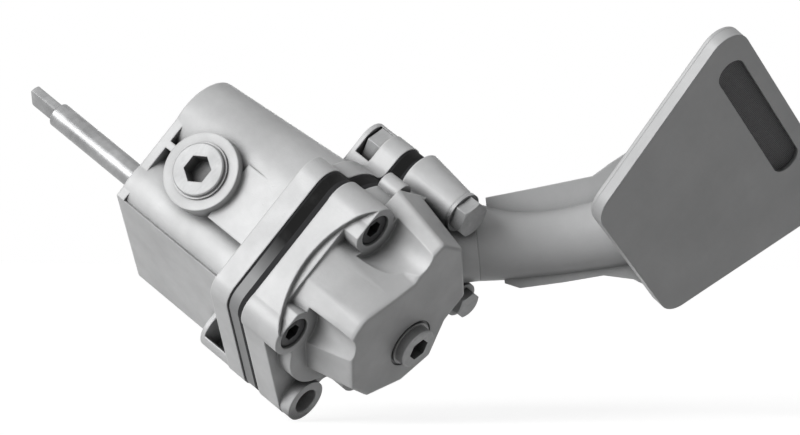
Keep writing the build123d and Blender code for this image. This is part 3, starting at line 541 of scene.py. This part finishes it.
# %% Joint finish
gasket, tree, shader = start_finish("gasket", 0.0, 0.25)
skin = use_group(tree, grain, Grain_Scale=2200.0, Cloud_Scale=120.0, Pit_Scale=900.0)
tree.links.new(mix_tone(tree, skin.outputs["Clouds"], (0.008, 0.008, 0.009), (0.035, 0.035, 0.037)),
               shader.inputs["Base Color"])
tree.links.new(span(tree, skin.outputs["Clouds"], 0.72, 0.9), shader.inputs["Roughness"])
add_bump(tree, shader, skin.outputs["Height"], None, 0.4, 0.0001)
print("finish:", gasket.name)

# %% Wire finish
mesh_wire, tree, shader = start_finish("mesh", 0.3, 0.3)
cloth = use_group(tree, weave, Pitch_Scale=560.0)
# Painted shade: the gaps in the weave are near black, standing in for the dark inside of the pickup
# behind the cloth.
tree.links.new(mix_tone(tree, cloth.outputs["Gap"], (0.1, 0.1, 0.103), (0.006, 0.006, 0.006)),
               shader.inputs["Base Color"])
tree.links.new(span(tree, cloth.outputs["Gap"], 0.4, 0.9), shader.inputs["Roughness"])
add_bump(tree, shader, cloth.outputs["Height"], None, 0.9, 0.0004)
print("finish:", mesh_wire.name)

# %% [markdown]
# ### The plate in the joint
# The edge of the plate between the two gaskets is painted with shade: it is black towards
# high y, where the flanges shade it, and grey at its lower corner. A second painted part
# could stand for the shadow, but a mask over the plate's length is enough.

# %% Plate finish with painted shade
PAINTED_SHADE_FROM = 0.000
PAINTED_SHADE_TO = 0.018
plate_steel, tree, shader = start_finish("joint_plate", 0.1, 0.2)
parts = tree.nodes.new("ShaderNodeSeparateXYZ")
tree.links.new(object_place(tree), parts.inputs["Vector"])
shade_ramp = tree.nodes.new("ShaderNodeMapRange")
shade_ramp.inputs["From Min"].default_value = PAINTED_SHADE_FROM
shade_ramp.inputs["From Max"].default_value = PAINTED_SHADE_TO
tree.links.new(parts.outputs["Y"], shade_ramp.inputs["Value"])
skin = use_group(tree, grain, Grain_Scale=1800.0, Cloud_Scale=90.0, Pit_Scale=700.0)
# Painted shade: the mask runs from grey at low y to black at high y, with a little random spread.
painted_plate_shade = math_node(tree, "ADD", shade_ramp.outputs["Result"],
                  span(tree, skin.outputs["Clouds"], -0.12, 0.12), True)
tree.links.new(mix_tone(tree, painted_plate_shade, (0.27, 0.272, 0.275), (0.006, 0.006, 0.006)),
               shader.inputs["Base Color"])
tree.links.new(span(tree, painted_plate_shade, 0.5, 0.85), shader.inputs["Roughness"])
add_bump(tree, shader, skin.outputs["Height"], None, 0.25, 0.00008)
print("stain runs from y", PAINTED_SHADE_FROM, "to", PAINTED_SHADE_TO)

# %% [markdown]
# ## Dressing the solids
# Each node of the CAD model takes the finish of its own slot in the record. A list by slot
# is shorter than one by node, and it can't miss a node. Only the plate in the joint has a
# finish of its own.

# %% Give each node its finish
finish_of = {"cast_alloy": cast_alloy, "machined_steel": machined_steel, "bolt_steel": bolt_steel,
             "dark_steel": dark_steel, "gear_steel": gear_steel, "bush_bronze": bush_bronze,
             "gasket": gasket, "washer": washer_metal, "sheet_steel": sheet_steel,
             "mesh": mesh_wire}
own_finish = {"spacer_plate": plate_steel}
slot_of = {}
for part in frame["record"]["subparts"]:
    slot_of[part["node"]] = part["material_slot"]
for name, solid in nodes.items():
    finish = own_finish.get(name, finish_of[slot_of[name]])
    if not solid.material_slots:
        solid.data.materials.append(finish)
    for place in solid.material_slots:
        place.material = finish
print("dressed:", len(nodes))

# %% [markdown]
# ## The relief spring
# The relief valve's spring is wound from round wire, and its end turns are closed so that it
# stands square in the plunger. A Screw modifier could wind it, but it gives every turn the
# same pitch. A curve through written points lets the end turns lie close, and it then stands
# for the CAD model's plain coil.

# %% Wind the spring
WIRE = 0.0009
TURNS = 6
STEPS = 28
CLOSED_RISE = 1.1 * WIRE
coil_low, coil_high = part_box("relief_spring")
coil_middle = (coil_low + coil_high) / 2
coil_radius = (coil_high.x - coil_low.x - WIRE) / 2
coil_height = coil_high.z - coil_low.z - WIRE
line = bpy.data.curves.new("relief_coil", "CURVE")
line.dimensions = "3D"
line.bevel_depth = WIRE / 2
line.bevel_resolution = 3
line.use_fill_caps = True
turns = line.splines.new("POLY")
turns.points.add(TURNS * STEPS)
open_pitch = (coil_height - 2 * CLOSED_RISE) / (TURNS - 2)
for k in range(TURNS * STEPS + 1):
    turn = k / STEPS
    rise = CLOSED_RISE * min(turn, 1.0)
    rise += open_pitch * min(max(turn - 1.0, 0.0), TURNS - 2.0)
    rise += CLOSED_RISE * max(turn - (TURNS - 1.0), 0.0)
    angle = 2 * math.pi * turn
    turns.points[k].co = (coil_middle.x + coil_radius * math.cos(angle),
                          coil_middle.y + coil_radius * math.sin(angle),
                          coil_low.z + WIRE / 2 + rise, 1.0)
print("spring: turns", TURNS, "open pitch mm", round(1000 * open_pitch, 2))

# %% Make it a mesh and hang it on the housing
wound = bpy.data.objects.new("relief_coil_line", line)
bpy.context.scene.collection.objects.link(wound)
bpy.context.view_layer.update()
coil_mesh = bpy.data.meshes.new_from_object(
    wound.evaluated_get(bpy.context.evaluated_depsgraph_get()))
bpy.data.objects.remove(wound)
for face in coil_mesh.polygons:
    face.use_smooth = True
coil = bpy.data.objects.new("relief_coil", coil_mesh)
bpy.context.scene.collection.objects.link(coil)
coil_mesh.materials.clear()
coil_mesh.materials.append(finish_of[slot_of["relief_spring"]])
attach(coil, "housing")
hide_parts("relief_spring")
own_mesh(coil)

# %% [markdown]
# ## The end


print("scene ready")
